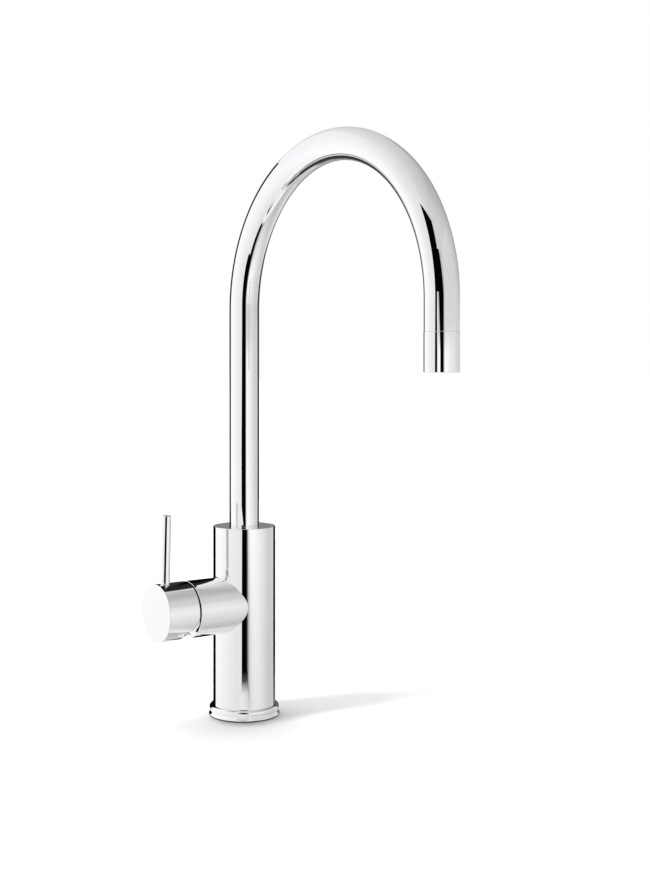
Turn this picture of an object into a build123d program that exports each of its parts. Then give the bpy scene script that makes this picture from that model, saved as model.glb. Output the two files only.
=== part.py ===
from build123d import *
import math
import os

# Single-lever kitchen mixer tap with a high swivel spout. All sizes are in millimetres.
# The origin is on the worktop, at the centre of the column, with Z up.
# The spout points to -Y and the handle points to -X.

# Running and fitting clearances, all on the radius
fit_gap = 0.05
running_gap = 0.10
moving_gap = 0.30

# Column
column_radius = 25.0
column_edge = 0.4

# Seal and trim ring at the foot. A reach is measured out from the column's surface.
seal_thickness = 1.0
seal_cover = 6.0
seal_reach = 3.3
ring_lip_reach = 3.6
ring_lip_height = 0.5
ring_neck_reach = 2.4
ring_neck_height = 3.7
ring_bead_reach = 3.0
ring_bead_radius = 2.5
ring_bead_centre_height = 6.3

# Threaded holes in the underside: two hose tails and one fixing stud
tail_thread_radius = 4.55
tail_thread_depth = 14.0
tail_offset_x = -5.0
tail_offset_y = 8.5
stud_thread_radius = 3.4
stud_thread_depth = 18.0
stud_offset_x = 11.0

# Spout tube: a straight leg above the column, a half circle and a short straight drop
tube_radius = 12.0
tube_wall = 1.0
leg_length = 173.5
arch_radius = 117.5
drop_length = 22.0

# Spout socket in the column
socket_floor_rise = 8.5
lower_bush_height = 3.0
lower_bush_width = 3.4
upper_bush_height = 13.2
upper_bush_wall = 1.85
ring_nut_height = 5.0
ring_nut_step = 3.0

# Brass spigot at the tube's foot, its two seals and the screw that locks it in
spigot_height = 23.7
spigot_wall = 2.0
spigot_nose_length = 10.0
o_ring_wire = 2.1
o_ring_groove_depth = 2.0
o_ring_groove_height = 3.2
o_ring_rises = (5.2, 11.2)
lock_groove_rise = 18.2
lock_groove_height = 4.0
lock_groove_depth = 1.6
lock_screw_radius = 2.5
lock_dog_radius = 1.5
lock_dog_length = 3.0
lock_screw_recess = 0.6
lock_socket_width = 2.5
lock_socket_depth = 3.0

# Outlet collar
collar_step = 0.15
collar_length = 27.0
collar_edge = 0.35
collar_wall = 1.4
collar_shoulder = 1.75
collar_spigot_length = 8.0

# Aerator in the collar
aerator_recess = 1.0
aerator_height = 15.0
aerator_wall = 1.4
aerator_lip = 0.7
aerator_notches = 12
aerator_notch_width = 1.4
aerator_notch_depth = 1.2
washer_thickness = 2.0
washer_width = 2.5
grid_thickness = 3.0
grid_cell = 2.0
grid_web = 0.45
screen_thickness = 0.6
screen_spacing = 1.8
screen_hole_radius = 0.55
screen_pitch = 1.9
regulator_height = 4.0
regulator_core_radius = 3.6
regulator_holes = 12
regulator_hole_radius = 0.9

# Handle side. Distances are measured outward from the column's axis, toward -X.
handle_height = 89.5
housing_wall = 2.85
housing_edge = 0.4
housing_rim_depth = 4.0
pocket_floor_wall = 3.0
pocket_gap = 0.2
pocket_thread_step = 1.9
pocket_thread_overlap = 0.5

# Water channels
inlet_port_radius = 3.2
inlet_port_drop = 5.0
outlet_port_radius = 4.2
outlet_port_rise = 8.0
outlet_channel_radius = 5.0

# Cartridge
cartridge_radius = 17.5
cartridge_base_thickness = 3.5
cartridge_shell_length = 21.5
cartridge_shell_wall = 1.5
cartridge_top_wall = 2.0
cartridge_neck_height = 4.0
cartridge_neck_wall = 1.6
peg_radius = 1.5
peg_length = 2.5
peg_inset = 4.0
port_seal_wire = 1.5
port_seal_depth = 1.4
fixed_disc_inset = 1.5
fixed_disc_thickness = 4.0
moving_disc_radius = 10.5
moving_disc_thickness = 4.0
disc_face_gap = 0.1
driver_plate_inset = 1.0
driver_plate_thickness = 3.0
driver_tower_wall = 2.4
driver_tower_gap = 0.5

# Rotor that carries the lever's stem
rotor_flange_gap = 0.4
rotor_turret_radius = 11.1
rotor_turret_wall = 1.6
rotor_rise_past_pivot = 6.0
pin_radius = 1.5
pin_end_gap = 0.6

# Lever stem, which pivots in the plane of the housing's rim
lever_tilt_limit = 22.0
stem_width = 8.0
stem_square_below_pivot = 8.0
stem_arm = 17.5
stem_neck_radius = 1.8
ball_radius = 2.5

# Nut and dome that close the pocket
nut_length = 8.0
nut_inner_gap = 0.4
nut_slot_width = 4.0
nut_slot_depth = 2.0
dome_inset = 2.4
dome_wall = 1.2
dome_flange_thickness = 2.0
dome_opening_angle = 48.0

# Lever hub, of the same diameter as the housing
hub_seam = 1.4
hub_length = 26.6
hub_edge = 0.5
hub_wall = 2.75
hub_face_thickness = 3.0
hub_dome_gap = 0.5
hub_wedge_start_drop = 3.0
hub_wedge_angle = 30.0
grub_screw_inset = 7.0
grub_screw_radius = 2.5
grub_screw_length = 8.0
grub_hex_width = 2.5
grub_hex_depth = 3.0

# Lever rod
rod_radius = 3.5
rod_inset = 8.4
rod_rise = 52.5
rod_edge = 0.4
rod_lean = 1.5
rod_seat_depth = 2.25
rod_stud_radius = 2.0
rod_stud_length = 8.0

# Radii of the socket and of what stands in it
socket_radius = tube_radius + running_gap + upper_bush_wall + fit_gap
ring_nut_radius = socket_radius + ring_nut_step
spigot_radius = socket_radius - moving_gap
tube_inner_radius = tube_radius - tube_wall
plug_radius = tube_inner_radius - fit_gap

# Heights up the column and the spout
socket_floor = handle_height + outlet_port_rise + socket_floor_rise
lower_bush_top = socket_floor + lower_bush_height
spigot_low = lower_bush_top + moving_gap
spigot_top = spigot_low + spigot_height
lock_groove_centre = spigot_low + lock_groove_rise
upper_bush_low = spigot_top + moving_gap
upper_bush_high = upper_bush_low + upper_bush_height
column_top = upper_bush_high + ring_nut_height
arch_start_height = column_top + leg_length
tube_end_height = arch_start_height - drop_length
reach = 2 * arch_radius

# Radii and heights at the outlet
collar_radius = tube_radius + collar_step
collar_low = tube_end_height - collar_length
collar_thread_radius = collar_radius - collar_wall
collar_bore_radius = collar_thread_radius - collar_shoulder
aerator_low = collar_low + aerator_recess
aerator_high = aerator_low + aerator_height
washer_top = aerator_high + washer_thickness
aerator_outer_radius = collar_thread_radius - fit_gap
aerator_inner_radius = aerator_outer_radius - aerator_wall
insert_radius = aerator_inner_radius - fit_gap
grid_low = aerator_low + aerator_notch_depth
grid_high = grid_low + grid_thickness
screens_high = grid_high + screen_spacing + screen_thickness

# Radii of the handle side
cartridge_inner_radius = cartridge_radius - cartridge_shell_wall
pocket_radius = cartridge_radius + pocket_gap
pocket_thread_radius = cartridge_radius + pocket_thread_step
housing_radius = pocket_thread_radius + housing_wall
hub_radius = housing_radius
dome_radius = pocket_thread_radius - dome_inset
neck_inner_radius = rotor_turret_radius + moving_gap
neck_outer_radius = neck_inner_radius + cartridge_neck_wall
driver_socket_radius = ball_radius + moving_gap
driver_tower_radius = driver_socket_radius + driver_tower_wall

# Distances out along the handle
pocket_floor = socket_radius + pocket_floor_wall
cartridge_base_end = pocket_floor + cartridge_base_thickness
fixed_disc_end = cartridge_base_end + fixed_disc_thickness
moving_disc_start = fixed_disc_end + disc_face_gap
moving_disc_end = moving_disc_start + moving_disc_thickness
driver_plate_end = moving_disc_end + driver_plate_thickness
cartridge_shell_end = cartridge_base_end + cartridge_shell_length
cartridge_neck_end = cartridge_shell_end + cartridge_neck_height
rotor_flange_start = driver_plate_end + moving_gap
rotor_flange_end = cartridge_shell_end - cartridge_top_wall - moving_gap
driver_tower_end = rotor_flange_end - driver_tower_gap
nut_end = cartridge_shell_end + nut_length
housing_end = nut_end + housing_rim_depth
pivot_distance = housing_end
rotor_end = pivot_distance + rotor_rise_past_pivot
ball_distance = pivot_distance - stem_arm
stem_square_start = pivot_distance - stem_square_below_pivot
hub_start = housing_end + hub_seam
hub_end = hub_start + hub_length
hub_cavity_end = pivot_distance + dome_radius + hub_dome_gap
stem_end = hub_end - hub_face_thickness
rod_distance = hub_end - rod_inset
grub_screw_distance = hub_end - grub_screw_inset

# The discs slide this far as the lever tilts, half of it to each side of the axis
disc_travel = stem_arm * math.sin(math.radians(lever_tilt_limit))
disc_drop = disc_travel / 2

# Local frame of the handle: x toward the spout side, y up, z outward along the handle's axis
handle_frame = Plane(origin=(0, 0, handle_height), x_dir=(0, -1, 0), z_dir=(-1, 0, 0))

FROM_BELOW = (Align.CENTER, Align.CENTER, Align.MIN)


def rod(radius, low, high, x=0.0, y=0.0):
    """A round bar along Z between two heights."""
    return Pos(x, y, low) * Cylinder(radius, high - low, align=FROM_BELOW)


def ring(outer, inner, low, high, x=0.0, y=0.0):
    """A bushing: a round bar with a round hole along Z."""
    return rod(outer, low, high, x, y) - rod(inner, low, high, x, y)


def bar(width, depth, low, high, x=0.0, y=0.0):
    """A rectangular bar along Z between two heights."""
    return Pos(x, y, low) * Box(width, depth, high - low, align=FROM_BELOW)


def rod_along_x(radius, start, end, y, z):
    """A round bar along X between two places."""
    return Pos(start, y, z) * Rot(0, 90, 0) * Cylinder(radius, end - start, align=FROM_BELOW)


def hexagon_bar(width, low, high):
    """A hexagonal bar along Z, of a given width across its flats."""
    outline = RegularPolygon(width / 2, 6, major_radius=False)
    return Pos(0, 0, low) * extrude(outline, high - low)


def on_handle(shape):
    """Place a piece that is drawn in the handle's own frame."""
    return handle_frame.location * shape


def edges_at(shape, z, radius):
    """The round edges of a piece at one height and one radius."""
    found = shape.edges().filter_by(GeomType.CIRCLE)
    near = found.filter_by(lambda e: abs(e.arc_center.Z - z) < 0.01 and abs(e.radius - radius) < 0.01)
    return near


def hexagonal_places(pitch, rings):
    """Centres of a hexagonal pattern with a number of rings round the middle."""
    places = []
    for column in range(-rings, rings + 1):
        for row in range(-rings, rings + 1):
            if abs(column + row) <= rings:
                x = pitch * (column + row / 2)
                y = pitch * row * math.sqrt(3) / 2
                places.append((x, y))
    return places


# Fixed pieces


def make_tap_body():
    """The cast brass body: column, side housing, spout socket, cartridge pocket and channels."""
    column = rod(column_radius, 0, column_top)
    column -= ring(column_radius, column_radius - seal_cover - fit_gap, 0, seal_thickness)
    column = fillet(edges_at(column, column_top, column_radius), column_edge)
    housing = rod(housing_radius, 0, housing_end)
    housing = chamfer(edges_at(housing, housing_end, housing_radius), housing_edge)
    body = column + on_handle(housing)

    # Spout socket with the seat of its ring nut
    body -= rod(socket_radius, socket_floor, column_top)
    body -= rod(ring_nut_radius, upper_bush_high, column_top)

    # Cartridge pocket, threaded near its mouth
    pocket = rod(pocket_radius, pocket_floor, housing_end)
    thread_start = cartridge_shell_end - pocket_thread_overlap
    pocket += rod(pocket_thread_radius, thread_start, housing_end)
    peg_hole_start = pocket_floor - peg_length - moving_gap
    for side in (-1, 1):
        peg_x = side * (cartridge_radius - peg_inset)
        pocket += rod(peg_radius + moving_gap, peg_hole_start, pocket_floor, peg_x, 0)
    body -= on_handle(pocket)

    # Mixed water: out of the pocket floor, then up to the socket
    outlet_height = handle_height + outlet_port_rise
    body -= rod_along_x(outlet_port_radius, -pocket_floor, 0, 0, outlet_height)
    body -= Pos(0, 0, outlet_height) * Sphere(outlet_channel_radius)
    body -= rod(outlet_channel_radius, outlet_height, socket_floor)

    # Hot and cold water: up from the hose threads, then out to the pocket floor
    inlet_height = handle_height - inlet_port_drop
    for side in (-1, 1):
        y = side * tail_offset_y
        body -= rod(tail_thread_radius, 0, tail_thread_depth, tail_offset_x, y)
        body -= rod(inlet_port_radius, 0, inlet_height, tail_offset_x, y)
        body -= Pos(tail_offset_x, y, inlet_height) * Sphere(inlet_port_radius)
        body -= rod_along_x(inlet_port_radius, -pocket_floor, tail_offset_x, y, inlet_height)

    # Fixing stud and spout lock screw
    body -= rod(stud_thread_radius, 0, stud_thread_depth, stud_offset_x, 0)
    body -= lock_screw_bar(lock_screw_radius + fit_gap, 0, column_radius)
    return body


def make_base_seal():
    """The rubber ring that seals the tap to the worktop, in a step round the column's foot."""
    return ring(column_radius + seal_reach, column_radius - seal_cover, 0, seal_thickness)


def make_base_ring():
    """The chromed trim ring: a flared lip, a drawn-in neck and a round bead."""
    inner = column_radius + fit_gap
    low = seal_thickness
    neck = column_radius + ring_neck_reach
    lip = column_radius + ring_lip_reach
    bead_x = column_radius + ring_bead_reach - ring_bead_radius
    bead_centre = (bead_x, ring_bead_centre_height)
    bead_low_angle = -math.degrees(math.acos((neck - bead_x) / ring_bead_radius))
    bead = CenterArc(bead_centre, ring_bead_radius, bead_low_angle, 90 - bead_low_angle)
    bead_low = bead @ 0
    bead_top = bead @ 1
    outline = Polyline(
        (bead_top.X, bead_top.Y),
        (inner, bead_top.Y),
        (inner, low),
        (lip, low),
        (lip, low + ring_lip_height),
        (neck, ring_neck_height),
        (bead_low.X, bead_low.Y),
    )
    profile = make_face([bead, outline])
    return revolve(Plane.XZ * profile, Axis.Z)


def make_lower_bush():
    """The plastic ring that the spigot stands on."""
    outer = socket_radius - fit_gap
    return ring(outer, outer - lower_bush_width, socket_floor, lower_bush_top)


def make_upper_bush():
    """The plastic sleeve that guides the tube where it leaves the column."""
    return ring(socket_radius - fit_gap, tube_radius + running_gap, upper_bush_low, upper_bush_high)


def make_ring_nut():
    """The ring that closes the socket, flush with the column's top."""
    return ring(ring_nut_radius - fit_gap, tube_radius + moving_gap, upper_bush_high, column_top)


def lock_screw_bar(radius, start, end):
    """A round bar along +Y at the height of the lock screw."""
    place = Pos(0, start, lock_groove_centre) * Rot(-90, 0, 0)
    return place * Cylinder(radius, end - start, align=FROM_BELOW)


def make_lock_screw():
    """The set screw at the back of the column, whose dog point runs in the spigot's groove."""
    groove_floor = spigot_radius - lock_groove_depth
    tip = groove_floor + moving_gap
    shoulder = tip + lock_dog_length
    outer_end = column_radius - lock_screw_recess
    screw = lock_screw_bar(lock_screw_radius, shoulder, outer_end)
    screw += lock_screw_bar(lock_dog_radius, tip, shoulder)
    socket = hexagon_bar(lock_socket_width, 0, lock_socket_depth)
    return screw - Pos(0, outer_end - lock_socket_depth, lock_groove_centre) * Rot(-90, 0, 0) * socket


# Cartridge, drawn in the handle's frame


def port_places():
    """The three ports of the cartridge: two inlets below the axis and the outlet above it."""
    inlets = [(side * tail_offset_y, -inlet_port_drop, inlet_port_radius) for side in (-1, 1)]
    return inlets + [(0.0, outlet_port_rise, outlet_port_radius)]


def make_cartridge_base():
    """The bottom plate of the cartridge, with its ports and two locating pegs."""
    plate = rod(cartridge_radius, pocket_floor, cartridge_base_end)
    for x, y, radius in port_places():
        plate -= rod(radius, pocket_floor, cartridge_base_end, x, y)
        seal_seat = radius + port_seal_wire + fit_gap
        plate -= rod(seal_seat, pocket_floor, pocket_floor + port_seal_depth, x, y)
    for side in (-1, 1):
        peg_x = side * (cartridge_radius - peg_inset)
        plate += rod(peg_radius, pocket_floor - peg_length, pocket_floor, peg_x, 0)
    return on_handle(plate)


def make_port_seals():
    """The three rubber rings round the cartridge's ports."""
    seals = []
    for x, y, radius in port_places():
        seal = ring(radius + port_seal_wire, radius, pocket_floor, pocket_floor + port_seal_depth, x, y)
        seals.append(on_handle(seal))
    return Compound(children=seals)


def make_fixed_disc():
    """The ceramic disc that stands still, with the same three ports."""
    disc = rod(cartridge_inner_radius - fixed_disc_inset, cartridge_base_end, fixed_disc_end)
    for x, y, radius in port_places():
        disc -= rod(radius, cartridge_base_end, fixed_disc_end, x, y)
    return on_handle(disc)


def make_cartridge_shell():
    """The plastic cup round the discs, with the neck that guides the rotor."""
    shell = rod(cartridge_radius, cartridge_base_end, cartridge_shell_end)
    inside_end = cartridge_shell_end - cartridge_top_wall
    shell -= rod(cartridge_inner_radius, cartridge_base_end, inside_end)
    shell += rod(neck_outer_radius, cartridge_shell_end, cartridge_neck_end)
    shell -= rod(neck_inner_radius, inside_end, cartridge_neck_end)
    return on_handle(shell)


def make_cartridge_nut():
    """The brass nut that holds the cartridge down, with two spanner slots."""
    inner = neck_outer_radius + nut_inner_gap
    nut = ring(pocket_thread_radius - fit_gap, inner, cartridge_shell_end, nut_end)
    slot_reach = 2 * pocket_thread_radius
    nut -= bar(slot_reach, nut_slot_width, nut_end - nut_slot_depth, nut_end)
    return on_handle(nut)


def make_dome_cover():
    """The chromed dome over the nut, a part of a sphere round the lever's pivot."""
    opening = math.radians(dome_opening_angle)
    sphere = Sphere(dome_radius) - Sphere(dome_radius - dome_wall)
    kept = rod(dome_radius, 0, dome_radius * math.cos(opening))
    dome = Pos(0, 0, pivot_distance) * (sphere & kept)
    flange_end = nut_end + dome_flange_thickness
    dome += ring(dome_radius, dome_radius - dome_wall, nut_end, pivot_distance)
    dome += ring(pocket_thread_radius - fit_gap, dome_radius - dome_wall, nut_end, flange_end)
    return on_handle(dome)


# Pieces that slide or turn inside the cartridge


def make_moving_disc():
    """The ceramic disc that slides and turns over the fixed one."""
    disc = rod(moving_disc_radius, moving_disc_start, moving_disc_end, 0, -disc_drop)
    chamber_end = moving_disc_start + moving_disc_thickness / 2
    disc -= rod(moving_disc_radius / 2, moving_disc_start, chamber_end, 0, -disc_drop)
    return on_handle(disc)


def make_disc_driver():
    """The slider on the moving disc, with a socket for the stem's ball."""
    driver = rod(moving_disc_radius - driver_plate_inset, moving_disc_end, driver_plate_end, 0, -disc_drop)
    driver += rod(driver_tower_radius, driver_plate_end, driver_tower_end)
    socket_bottom = ball_distance - ball_radius - 2 * moving_gap
    driver -= rod(driver_socket_radius, socket_bottom, driver_tower_end)
    return on_handle(driver)


def pin_bar(radius):
    """A round bar through the pivot, as long as the pin."""
    length = 2 * (rotor_turret_radius - pin_end_gap)
    return Pos(0, 0, pivot_distance) * Rot(0, 90, 0) * Cylinder(radius, length)


def make_stem_carrier():
    """The rotor: a flange under the shell's top and a slotted turret that holds the pivot pin."""
    flange_radius = cartridge_inner_radius - rotor_flange_gap
    rotor = rod(flange_radius, rotor_flange_start, rotor_flange_end)
    rotor += rod(rotor_turret_radius, rotor_flange_start, rotor_end)
    slot_width = stem_width + 2 * moving_gap
    slot_length = 2 * (rotor_turret_radius - rotor_turret_wall)
    rotor -= bar(slot_width, slot_length, rotor_flange_start, rotor_end)

    # The flange is open where the driver's tower slides
    way = driver_tower_radius + 2 * moving_gap
    rotor -= rod(way, rotor_flange_start, rotor_flange_end)
    rotor -= rod(way, rotor_flange_start, rotor_flange_end, 0, disc_travel)
    rotor -= bar(2 * way, disc_travel, rotor_flange_start, rotor_flange_end, 0, disc_travel / 2)
    rotor -= pin_bar(pin_radius)
    return on_handle(rotor)


def make_pivot_pin():
    """The steel pin that the lever tilts on."""
    return on_handle(pin_bar(pin_radius - fit_gap))


# Lever


def make_lever_stem():
    """The square stem with a ball end, bored for the pivot pin."""
    stem = bar(stem_width, stem_width, stem_square_start, stem_end)
    stem += rod(stem_neck_radius, ball_distance, stem_square_start)
    stem += Pos(0, 0, ball_distance) * Sphere(ball_radius)
    stem -= pin_bar(pin_radius + fit_gap)
    return on_handle(stem)


def rod_place():
    """The rod's own frame on the hub's top: z runs up the rod, which leans toward the column."""
    seat_height = hub_radius - rod_seat_depth
    return Pos(0, seat_height, rod_distance) * Rot(-90 - rod_lean, 0, 0)


def make_lever_hub():
    """The round hub, hollow over the dome and cut to a wedge below so that it can tilt."""
    hub = rod(hub_radius, hub_start, hub_end)
    hub = chamfer(edges_at(hub, hub_end, hub_radius), hub_edge)
    hub -= rod(hub_radius - hub_wall, hub_start, hub_cavity_end)

    # The wedge is a block whose outer face leans outward as it goes down
    block_size = 4 * hub_radius
    block = Box(block_size, block_size, block_size, align=(Align.CENTER, Align.CENTER, Align.MAX))
    hub -= Pos(0, -hub_wedge_start_drop, hub_start) * Rot(-hub_wedge_angle, 0, 0) * block

    # Socket of the stem, grub screw hole and the rod's seat
    socket_width = stem_width + 2 * fit_gap
    hub -= bar(socket_width, socket_width, hub_cavity_end, stem_end)
    hub -= grub_bar(grub_screw_radius + fit_gap, stem_width / 2, hub_radius)
    seat = rod(rod_radius + fit_gap, 0, 2 * rod_seat_depth)
    seat += rod(rod_stud_radius + fit_gap, -rod_stud_length - moving_gap, 0)
    hub -= rod_place() * seat
    return on_handle(hub)


def grub_bar(radius, start, end):
    """A round bar straight down from near the handle's axis, in line with the grub screw."""
    place = Pos(0, -start, grub_screw_distance) * Rot(90, 0, 0)
    return place * Cylinder(radius, end - start, align=FROM_BELOW)


def make_grub_screw():
    """The set screw under the hub that clamps it to the stem."""
    start = stem_width / 2 + fit_gap
    screw = grub_bar(grub_screw_radius, start, start + grub_screw_length)
    socket_start = start + grub_screw_length - grub_hex_depth
    socket = hexagon_bar(grub_hex_width, 0, grub_hex_depth)
    return on_handle(screw - Pos(0, -socket_start, grub_screw_distance) * Rot(90, 0, 0) * socket)


def make_lever_rod():
    """The straight lever, screwed into the hub's top."""
    length = rod_seat_depth + rod_rise
    bar_piece = rod(rod_radius, 0, length)
    bar_piece = chamfer(edges_at(bar_piece, length, rod_radius), rod_edge)
    bar_piece += rod(rod_stud_radius, -rod_stud_length, 0)
    return on_handle(rod_place() * bar_piece)


# Spout


def tube_path():
    """Up the straight leg, over the half circle toward -Y and down to the collar."""
    up = Line((0, 0, spigot_top), (0, 0, arch_start_height))
    arch_top = (0, -arch_radius, arch_start_height + arch_radius)
    over = ThreePointArc((0, 0, arch_start_height), arch_top, (0, -reach, arch_start_height))
    down = Line((0, -reach, arch_start_height), (0, -reach, tube_end_height))
    return Wire([up, over, down])


def make_spout_tube():
    """The bent tube of the spout."""
    start = Plane(origin=(0, 0, spigot_top), z_dir=(0, 0, 1))
    outer = sweep(start * Circle(tube_radius), tube_path())
    inner = sweep(start * Circle(tube_inner_radius), tube_path())
    return outer - inner


def make_spout_spigot():
    """The brass end of the tube inside the column, with its seal and lock grooves."""
    spigot = rod(spigot_radius, spigot_low, spigot_top)
    nose_end = spigot_top + spigot_nose_length
    spigot += rod(plug_radius, spigot_top, nose_end)
    spigot -= rod(tube_inner_radius - spigot_wall, spigot_low, nose_end)
    for rise in o_ring_rises:
        low = spigot_low + rise - o_ring_groove_height / 2
        high = low + o_ring_groove_height
        spigot -= ring(spigot_radius, spigot_radius - o_ring_groove_depth, low, high)
    lock_low = lock_groove_centre - lock_groove_height / 2
    lock_high = lock_groove_centre + lock_groove_height / 2
    spigot -= ring(spigot_radius, spigot_radius - lock_groove_depth, lock_low, lock_high)
    return spigot


def make_spout_o_rings():
    """The two rubber rings that seal the spigot in its socket."""
    rings = []
    middle = spigot_radius - o_ring_groove_depth + fit_gap + o_ring_wire / 2
    for rise in o_ring_rises:
        rings.append(Pos(0, 0, spigot_low + rise) * Torus(middle, o_ring_wire / 2))
    return Compound(children=rings)


def make_outlet_collar():
    """The collar at the end of the spout, threaded inside for the aerator."""
    collar = rod(collar_radius, collar_low, tube_end_height)
    ends = edges_at(collar, collar_low, collar_radius) + edges_at(collar, tube_end_height, collar_radius)
    collar = chamfer(ends, collar_edge)
    plug_end = tube_end_height + collar_spigot_length
    collar += rod(plug_radius, tube_end_height, plug_end)
    collar -= rod(collar_bore_radius, collar_low, plug_end)
    collar -= rod(collar_thread_radius, collar_low, washer_top)
    return at_outlet(collar)


def at_outlet(shape):
    """Move a piece that is drawn on the column's axis to the outlet's axis."""
    return Pos(0, -reach, 0) * shape


def make_aerator_shell():
    """The threaded sleeve of the aerator, notched below for its key."""
    shell = ring(aerator_outer_radius, aerator_inner_radius, aerator_low, aerator_high)
    shell += ring(aerator_outer_radius, aerator_inner_radius - aerator_lip, aerator_low, grid_low)
    notch_length = 2 * (aerator_wall + aerator_lip)
    notch = bar(notch_length, aerator_notch_width, aerator_low, grid_low, aerator_inner_radius, 0)
    for index in range(aerator_notches):
        shell -= Rot(0, 0, index * 360 / aerator_notches) * notch
    return at_outlet(shell)


def make_aerator_washer():
    """The rubber washer between the aerator and the collar's step."""
    washer_bore = aerator_outer_radius - washer_width
    return at_outlet(ring(aerator_outer_radius, washer_bore, aerator_high, washer_top))


def make_aerator_grid():
    """The honeycomb at the outlet, which straightens the stream."""
    grid = rod(insert_radius, grid_low, grid_high)
    cell = RegularPolygon(grid_cell / 2, 6, major_radius=False, rotation=30)
    pitch = grid_cell + grid_web
    rings = int((insert_radius - grid_cell / 2) / pitch)
    places = hexagonal_places(pitch, rings)
    holes = [Pos(x, y, grid_low) * extrude(cell, grid_thickness) for x, y in places]
    return at_outlet(grid - holes)


def make_aerator_screens():
    """Two fine screens above the honeycomb, each a perforated disc."""
    screens = []
    inside = insert_radius - 2 * screen_hole_radius
    places = hexagonal_places(screen_pitch, int(inside / screen_pitch))
    for index in range(2):
        low = grid_high + index * screen_spacing
        high = low + screen_thickness
        screen = rod(insert_radius, low, high)
        holes = [rod(screen_hole_radius, low, high, x, y) for x, y in places if math.hypot(x, y) < inside]
        screen = screen - holes
        if index:
            screen += ring(insert_radius, insert_radius - aerator_wall, grid_high + screen_thickness, low)
        screens.append(at_outlet(screen))
    return Compound(children=screens)


def make_flow_regulator():
    """The plastic insert that limits and splits the flow, under the washer."""
    low = aerator_high - regulator_height
    regulator = rod(insert_radius, low, aerator_high)
    regulator += ring(insert_radius, insert_radius - aerator_wall, screens_high, low)
    circle = (insert_radius + regulator_core_radius) / 2
    hole = rod(regulator_hole_radius, low, aerator_high, circle, 0)
    for index in range(regulator_holes):
        regulator -= Rot(0, 0, index * 360 / regulator_holes) * hole
    regulator -= rod(regulator_core_radius, aerator_high - regulator_height / 2, aerator_high)
    return at_outlet(regulator)


makers = {
    "tap_body": make_tap_body,
    "base_seal": make_base_seal,
    "base_ring": make_base_ring,
    "lower_swivel_bush": make_lower_bush,
    "upper_swivel_bush": make_upper_bush,
    "spout_ring_nut": make_ring_nut,
    "spout_lock_screw": make_lock_screw,
    "cartridge_base": make_cartridge_base,
    "cartridge_port_seals": make_port_seals,
    "fixed_ceramic_disc": make_fixed_disc,
    "cartridge_shell": make_cartridge_shell,
    "cartridge_nut": make_cartridge_nut,
    "dome_cover": make_dome_cover,
    "moving_ceramic_disc": make_moving_disc,
    "disc_driver": make_disc_driver,
    "stem_carrier": make_stem_carrier,
    "pivot_pin": make_pivot_pin,
    "lever_stem": make_lever_stem,
    "lever_hub": make_lever_hub,
    "hub_grub_screw": make_grub_screw,
    "lever_rod": make_lever_rod,
    "spout_tube": make_spout_tube,
    "spout_spigot": make_spout_spigot,
    "spout_o_rings": make_spout_o_rings,
    "outlet_collar": make_outlet_collar,
    "aerator_shell": make_aerator_shell,
    "aerator_washer": make_aerator_washer,
    "aerator_grid": make_aerator_grid,
    "aerator_screens": make_aerator_screens,
    "flow_regulator": make_flow_regulator,
}

os.makedirs("parts", exist_ok=True)
for name, make in makers.items():
    export_step(make(), f"parts/{name}.step")
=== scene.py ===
"""Looks of the kitchen mixer tap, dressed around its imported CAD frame.

The visible chrome pieces are rebuilt as fine meshes with an exact normal at every corner, so that
they mirror the studio cleanly. All lengths below are in millimetres, in the frame of the CAD, and
every mesh is scaled to metres when it is made.
"""

import math

import bpy
from mathutils import Matrix, Vector
from mathutils.geometry import tessellate_polygon


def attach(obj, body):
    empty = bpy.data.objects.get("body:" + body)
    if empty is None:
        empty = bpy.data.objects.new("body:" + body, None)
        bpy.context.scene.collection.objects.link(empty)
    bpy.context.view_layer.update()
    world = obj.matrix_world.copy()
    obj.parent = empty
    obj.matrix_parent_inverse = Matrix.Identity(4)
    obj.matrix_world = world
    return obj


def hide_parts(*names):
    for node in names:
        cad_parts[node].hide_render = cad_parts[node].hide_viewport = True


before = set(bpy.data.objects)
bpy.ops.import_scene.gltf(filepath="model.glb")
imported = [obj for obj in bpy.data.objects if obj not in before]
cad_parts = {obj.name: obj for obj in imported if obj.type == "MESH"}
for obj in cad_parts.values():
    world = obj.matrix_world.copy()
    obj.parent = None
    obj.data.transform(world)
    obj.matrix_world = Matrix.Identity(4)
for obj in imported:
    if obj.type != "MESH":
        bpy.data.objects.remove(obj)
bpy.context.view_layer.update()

MM = 0.001

# Column and foot
COLUMN_RADIUS = 25.0
COLUMN_EDGE = 0.4
COLUMN_TOP = 151.5
SEAL_RECESS_RADIUS = 18.95
SEAL_THICKNESS = 1.0
SOCKET_RADIUS = 14.0
SOCKET_FLOOR = 106.0
NUT_SEAT_RADIUS = 17.0
NUT_SEAT = 146.5
NUT_SEAT_EDGE = 0.12
LOCK_HEIGHT = 127.5
LOCK_RADIUS = 2.55
LOCK_HOLE_WALL = 1.5

# Side housing and handle
HANDLE_HEIGHT = 89.5
HOUSING_RADIUS = 22.25
HOUSING_END = 54.0
HOUSING_EDGE = 0.4
SADDLE_FILLET = 0.7
WEDGE_DROP = 3.0
POCKET_RADIUS = 17.7
POCKET_FLOOR = 17.0
POCKET_THREAD_RADIUS = 19.4
POCKET_THREAD_START = 41.5
POCKET_EDGE = 0.25

# Spout
TUBE_RADIUS = 12.0
TUBE_BORE = 11.0
TUBE_START = 133.0
TUBE_EDGE = 0.12
ARCH_HEIGHT = 325.0
ARCH_RADIUS = 117.5
REACH = 235.0
TUBE_END = 303.0

# Steps of the meshes: round a lathed piece, round the tube, along the arch, along half a side hole
# and along a rounded edge
ROUND = 240
TUBE_ROUND = 128
ARCH_STEPS = 240
HOLE_STEPS = 24
EDGE_STEPS = 5


# Mesh building


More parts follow.
